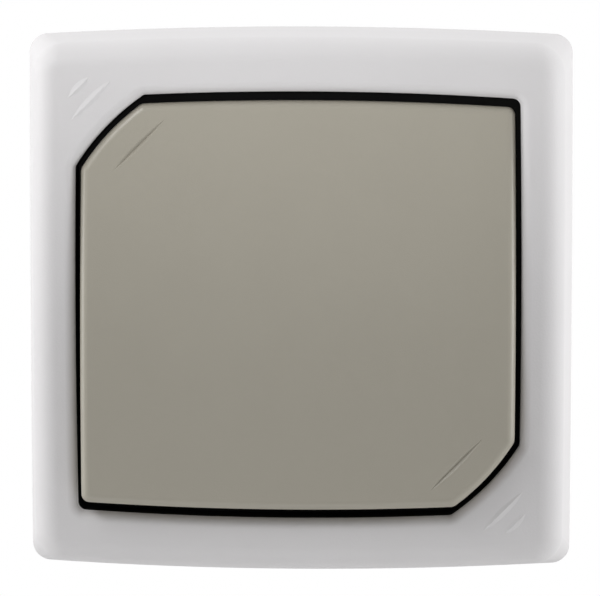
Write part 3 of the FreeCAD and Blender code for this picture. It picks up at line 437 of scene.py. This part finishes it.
rockerShell = dict(
    gaps=(0.85, 1.5, 1.0), corner=1.3, blend=1.6, leastCorner=0.1,
    face=4.5, back=-1.0, inside=2.7, wall=1.5,
    roll=1.4, rollSteps=9,
    pivotDepth=9.0, restTilt=4.0,
    ribSpan=44.0, ribWall=1.2, ribHeight=2.0,
    legWidth=10.0, legWall=1.2, legEdge=9.2, legBack=-0.3, hookReach=0.6, hookHeight=1.0,
    sink=0.1,  # how far ribs and legs reach into the shell
    grooveDistance=34.2, grooveLength=11.2, grooveDepth=0.35, grooveWidth=0.9,
    grooveSteps=24, grooveSpread=20.0,
)


def rockerArcs(inset):
    r = rockerShell
    gaps = [gap + inset for gap in r["gaps"]]
    rounded = min(inset, r["roll"])
    corner = max(r["corner"] - rounded, r["leastCorner"])
    return openingArcs(*gaps, corner, max(r["blend"] - rounded, r["leastCorner"]))


def rockerLoops(bm):
    r = rockerShell
    innerArcs = openingArcs(*[gap + r["wall"] for gap in r["gaps"]], r["corner"], r["blend"])
    loops = [drawLoop(bm, innerArcs, r["inside"]), drawLoop(bm, innerArcs, r["back"])]
    loops.append(drawLoop(bm, rockerArcs(0), r["back"]))
    for step in range(r["rollSteps"] + 1):
        angle = math.pi / 2 * step / r["rollSteps"]
        inset = r["roll"] * (1 - math.cos(angle))
        depth = r["face"] - r["roll"] * (1 - math.sin(angle))
        loops.append(drawLoop(bm, rockerArcs(inset), depth))
    return loops


# The wedge that cuts one groove, as a thin bevelled disc would
def makeGrooveCutter(turn):
    r = rockerShell
    bm = bmesh.new()
    depth, face = r["grooveDepth"], r["face"]
    disc = r["grooveLength"] ** 2 / (8 * depth) + depth / 2
    out, width = r["grooveDistance"], r["grooveWidth"]
    corners = [
        (out, depth - face, 0),
        (out + width, -depth - face, 0),
        (out - width, -depth - face, 0),
    ]
    centre = (0, depth - face - disc, 0)
    sweepTriangle(bm, corners, centre, math.radians(r["grooveSpread"] / 2), r["grooveSteps"])
    bmesh.ops.rotate(bm, cent=(0, 0, 0), matrix=Matrix.Rotation(turn, 3, "Y"), verts=bm.verts)
    bmesh.ops.recalc_face_normals(bm, faces=bm.faces)
    return addObject(bm, "grooveCutter")


# The shell's mesh with the grooves cut out of it
def cutGrooves(bm):
    shell = addObject(bm, "shell")
    cutters = [makeGrooveCutter(turn) for turn in markTurns]
    for cutter in cutters:
        cut = shell.modifiers.new("cut", "BOOLEAN")
        cut.operation, cut.solver, cut.object = "DIFFERENCE", "EXACT", cutter
    seen = shell.evaluated_get(bpy.context.evaluated_depsgraph_get())
    result = bmesh.new()
    result.from_mesh(seen.to_mesh())
    for spare in [shell, *cutters]:
        bpy.data.objects.remove(spare)
    return result


def makeRocker():
    r = rockerShell
    bm = bmesh.new()
    loops = rockerLoops(bm)
    bridgeAll(bm, loops)
    capLoop(bm, loops[0])
    capLoop(bm, loops[-1])
    bmesh.ops.recalc_face_normals(bm, faces=bm.faces)
    bm = cutGrooves(bm)
    ribBack, root = r["inside"] - r["ribHeight"], r["inside"] + r["sink"]
    for sign in (-1, 1):
        middle = sign * r["ribSpan"] / 2
        addBlock(bm, r["ribWall"], r["ribSpan"], ribBack, root, x=middle)
        addBlock(bm, r["ribSpan"], r["ribWall"], ribBack, root, z=middle)
        legZ = sign * (r["legEdge"] + r["legWall"] / 2)
        addBlock(bm, r["legWidth"], r["legWall"], r["legBack"], root, z=legZ)
        hookZ = sign * (r["legEdge"] + (r["legWall"] - r["hookReach"]) / 2)
        hookWall = r["legWall"] + r["hookReach"]
        hookFront = r["legBack"] + r["hookHeight"]
        addBlock(bm, r["legWidth"], hookWall, r["legBack"], hookFront, z=hookZ)
    lean = Matrix.Rotation(-math.radians(r["restTilt"]), 3, "X")
    bmesh.ops.rotate(bm, cent=(0, 0, 0), matrix=lean, verts=bm.verts)
    bmesh.ops.translate(bm, vec=(0, -r["pivotDepth"], 0), verts=bm.verts)
    return finishPiece(bm, "rocker_shell", "rocker", materials["champagnePlastic"], ["rocker"])


makeRocker()

# Wall seal: a rubber ring with a groove for the frame's rib and a shallow groove along its back

wallSeal = dict(
    outer=2.6, ribOuter=3.6, ribInner=5.0, inner=5.5, corner=2.0,
    front=2.8, grooveDepth=1.6,
    backGroove=(3.7, 4.4), backGrooveDepth=0.35,
    softEdge=0.16,
)


def makeWallSeal():
    s = wallSeal
    bm = bmesh.new()
    grooveOuter, grooveInner = s["backGroove"]
    section = [
        (s["outer"], 0), (s["outer"], s["front"]), (s["ribOuter"], s["front"]),
        (s["ribOuter"], s["grooveDepth"]), (s["ribInner"], s["grooveDepth"]),
        (s["ribInner"], s["front"]), (s["inner"], s["front"]), (s["inner"], 0),
        (grooveInner, 0), (grooveInner, s["backGrooveDepth"]),
        (grooveOuter, s["backGrooveDepth"]), (grooveOuter, 0),
    ]
    loops = [drawLoop(bm, coverArcs(inset, s["corner"]), depth) for inset, depth in section]
    bridgeAll(bm, loops, closed=True)
    bmesh.ops.bevel(
        bm, geom=sharpEdges(bm), offset=s["softEdge"], segments=3, profile=0.5,
        affect="EDGES", material=-1,
    )
    return finishPiece(bm, "wall_seal", "housing", materials["blackRubber"], ["wall_gasket"])


makeWallSeal()

# Sealing membrane: a soft tray with a collar round the tower and a lip that lines the opening

membraneTray = dict(
    width=69.8, height=69.0, corner=2.0,
    back=1.0, front=5.2, wall=1.0,
    collar=(26.4, 28.4), tower=(24.0, 26.0), collarFront=6.6, collarCorner=0.6,
    lip=0.5, lipFront=10.7,
    softEdge=0.2,
)


# A closed loop of edges along a rectangle with rounded corners
def drawRectangle(bm, width, height, corner, depth, steps=6):
    earlier = set(bm.edges)
    made = bmesh.ops.create_grid(bm, x_segments=1, y_segments=1, size=0.5)["verts"]
    bmesh.ops.rotate(bm, matrix=Matrix.Rotation(math.radians(90), 3, "X"), verts=made)
    bmesh.ops.scale(bm, vec=(width, 1, height), verts=made)
    bmesh.ops.translate(bm, vec=(0, -depth, 0), verts=made)
    bmesh.ops.bevel(
        bm, geom=made, offset=corner, segments=steps, profile=0.5, affect="VERTICES",
        material=-1,
    )
    loop = [edge for edge in bm.edges if edge not in earlier]
    faces = list({face for edge in loop for face in edge.link_faces})
    bmesh.ops.delete(bm, geom=faces, context="FACES_ONLY")
    return loop


def makeMembrane():
    t = membraneTray
    bm = bmesh.new()
    inner = (t["width"] - 2 * t["wall"], t["height"] - 2 * t["wall"], t["corner"])
    sheetBack = t["front"] - t["wall"]
    loops = [
        drawRectangle(bm, *t["tower"], t["collarCorner"], sheetBack),
        drawRectangle(bm, *inner, sheetBack),
        drawRectangle(bm, *inner, t["back"]),
        drawRectangle(bm, t["width"], t["height"], t["corner"], t["back"]),
        drawRectangle(bm, t["width"], t["height"], t["corner"], t["front"]),
        drawRectangle(bm, *t["collar"], t["collarCorner"], t["front"]),
        drawRectangle(bm, *t["collar"], t["collarCorner"], t["collarFront"]),
        drawRectangle(bm, *t["tower"], t["collarCorner"], t["collarFront"]),
    ]
    bridgeAll(bm, loops, closed=True)
    lip = [
        drawLoop(bm, evenOpeningArcs(outset), depth)
        for outset, depth in (
            (0, sheetBack), (t["lip"], sheetBack), (t["lip"], t["lipFront"]), (0, t["lipFront"]),
        )
    ]
    bridgeAll(bm, lip, closed=True)
    bmesh.ops.bevel(
        bm, geom=sharpEdges(bm), offset=t["softEdge"], segments=3, profile=0.5,
        affect="EDGES", material=-1, clamp_overlap=True,
    )
    return finishPiece(
        bm, "membrane_tray", "housing", materials["softMembrane"], ["sealing_membrane"]
    )


makeMembrane()

# Floor: pale, keeps the shadow below the object and runs out into white behind it

floorSpot = dict(
    depth=0.105, reach=0.4, colour=(0.57, 0.57, 0.57), roughness=0.9, shine=0.1,
    clearFrom=0.12, clearTo=0.32, lift=0.55,
)


def makeFloor():
    f = floorSpot
    bm = bmesh.new()
    bmesh.ops.create_grid(bm, x_segments=1, y_segments=1, size=f["reach"])
    bmesh.ops.translate(bm, vec=(0, 0, -f["depth"]), verts=bm.verts)
    floor = addObject(bm, "floor")

    material = bpy.data.materials.new("floorPaper")
    material.use_nodes = True
    nodes, links = material.node_tree.nodes, material.node_tree.links
    paper = nodes["Principled BSDF"]
    paper.inputs["Base Color"].default_value = (*f["colour"], 1)
    paper.inputs["Roughness"].default_value = f["roughness"]
    paper.inputs["Specular IOR Level"].default_value = f["shine"]
    white = nodes.new("ShaderNodeEmission")
    place = nodes.new("ShaderNodeTexCoord")
    away = nodes.new("ShaderNodeVectorMath")
    away.operation = "LENGTH"
    links.new(place.outputs["Object"], away.inputs[0])
    fade = smoothRange(nodes, f["clearFrom"], f["clearTo"], f["lift"], 1.0)
    links.new(away.outputs["Value"], fade.inputs["Value"])
    path = nodes.new("ShaderNodeLightPath")
    seen = nodes.new("ShaderNodeMath")
    seen.operation = "MULTIPLY"
    links.new(path.outputs["Is Camera Ray"], seen.inputs[0])
    links.new(fade.outputs["Result"], seen.inputs[1])
    blend = nodes.new("ShaderNodeMixShader")
    links.new(seen.outputs["Value"], blend.inputs["Fac"])
    links.new(paper.outputs["BSDF"], blend.inputs[1])
    links.new(white.outputs["Emission"], blend.inputs[2])
    # seen from below, the floor isn't there
    side = nodes.new("ShaderNodeNewGeometry")
    clear = nodes.new("ShaderNodeBsdfTransparent")
    both = nodes.new("ShaderNodeMixShader")
    links.new(side.outputs["Backfacing"], both.inputs["Fac"])
    links.new(blend.outputs["Shader"], both.inputs[1])
    links.new(clear.outputs["BSDF"], both.inputs[2])
    links.new(both.outputs["Shader"], nodes["Material Output"].inputs["Surface"])
    floor.data.materials.append(material)


makeFloor()

# Studio light: a soft world, dim on the viewer's side, a spot that fades downwards, and area lamps

studio = dict(front=0.20, around=1.4, frontEdge=-0.246, aroundEdge=0.088)
faceMiddle = (0.0, -0.012, 0.0)

fadingSpot = dict(
    place=(0.0, -0.678, 0.0845), aim=(0.0, -0.012, 0.101),
    power=8.3, radius=0.03, angle=21.19, blend=1.0,
)

areaLamps = dict(
    left=dict(place=(-0.438, -0.045, 0.070), size=(0.20, 0.20), power=0.56),
    right=dict(place=(0.438, -0.045, 0.070), size=(0.20, 0.20), power=0.80),
    upperLeft=dict(place=(-0.24, -0.24, 0.30), size=(0.16, 0.16), power=0.62),
    below=dict(place=(0.0, -0.0394, -0.0664), size=(0.329, 0.02), power=0.0165),
)


def makeWorld():
    world = bpy.data.worlds.new("studio")
    bpy.context.scene.world = world
    world.use_nodes = True
    nodes, links = world.node_tree.nodes, world.node_tree.links
    light = nodes["Background"]
    place = nodes.new("ShaderNodeTexCoord")
    parts = nodes.new("ShaderNodeSeparateXYZ")
    links.new(place.outputs["Generated"], parts.inputs["Vector"])
    s = studio
    level = smoothRange(nodes, s["frontEdge"], s["aroundEdge"], s["front"], s["around"])
    links.new(parts.outputs["Y"], level.inputs["Value"])
    links.new(level.outputs["Result"], light.inputs["Strength"])
    light.inputs["Color"].default_value = (1, 1, 1, 1)
    white = nodes.new("ShaderNodeBackground")
    white.inputs["Color"].default_value = (1, 1, 1, 1)
    path = nodes.new("ShaderNodeLightPath")
    seesWhite = path.outputs["Is Camera Ray"]
    for ray in ("Is Glossy Ray", "Is Transmission Ray"):
        either = nodes.new("ShaderNodeMath")
        either.operation = "MAXIMUM"
        links.new(seesWhite, either.inputs[0])
        links.new(path.outputs[ray], either.inputs[1])
        seesWhite = either.outputs["Value"]
    blend = nodes.new("ShaderNodeMixShader")
    links.new(seesWhite, blend.inputs["Fac"])
    links.new(light.outputs["Background"], blend.inputs[1])
    links.new(white.outputs["Background"], blend.inputs[2])
    links.new(blend.outputs["Shader"], nodes["World Output"].inputs["Surface"])


# Adds a lamp or camera that stands at a place and looks at a target
def addAimed(data, place, target):
    thing = bpy.data.objects.new(data.name, data)
    bpy.context.scene.collection.objects.link(thing)
    thing.location = place
    thing.rotation_mode = "QUATERNION"
    thing.rotation_quaternion = (Vector(target) - thing.location).to_track_quat("-Z", "Y")
    return thing


def hangLamp(data, look):
    data.energy = look["power"]
    lamp = addAimed(data, look["place"], look.get("aim", faceMiddle))
    lamp.visible_camera = False
    return lamp


def makeLamps():
    spot = bpy.data.lights.new("fadingSpot", "SPOT")
    spot.spot_size, spot.spot_blend = math.radians(fadingSpot["angle"]), fadingSpot["blend"]
    spot.shadow_soft_size = fadingSpot["radius"]
    hangLamp(spot, fadingSpot).visible_glossy = False
    for name, look in areaLamps.items():
        area = bpy.data.lights.new(name + "Lamp", "AREA")
        area.shape = "RECTANGLE"
        area.size, area.size_y = look["size"]
        hangLamp(area, look)


makeWorld()
makeLamps()
bpy.context.scene.view_settings.view_transform = "Standard"
print("studio lit")

# Camera: a little to the right and above, a long lens from 0.6 m away

shot = dict(
    azimuth=2.2, elevation=5.6, distance=0.600, lens=232.0, sensor=36.0,
    target=(-0.00009, 0, 0.00012), clip=(0.01, 20),
)


def makeCamera():
    turn, lift = math.radians(shot["azimuth"]), math.radians(shot["elevation"])
    away = Vector((
        math.sin(turn) * math.cos(lift), -math.cos(turn) * math.cos(lift), math.sin(lift)
    ))
    data = bpy.data.cameras.new("camera")
    data.lens, data.sensor_width = shot["lens"], shot["sensor"]
    data.clip_start, data.clip_end = shot["clip"]
    place = Vector(shot["target"]) + away * shot["distance"]
    bpy.context.scene.camera = addAimed(data, place, shot["target"])


makeCamera()
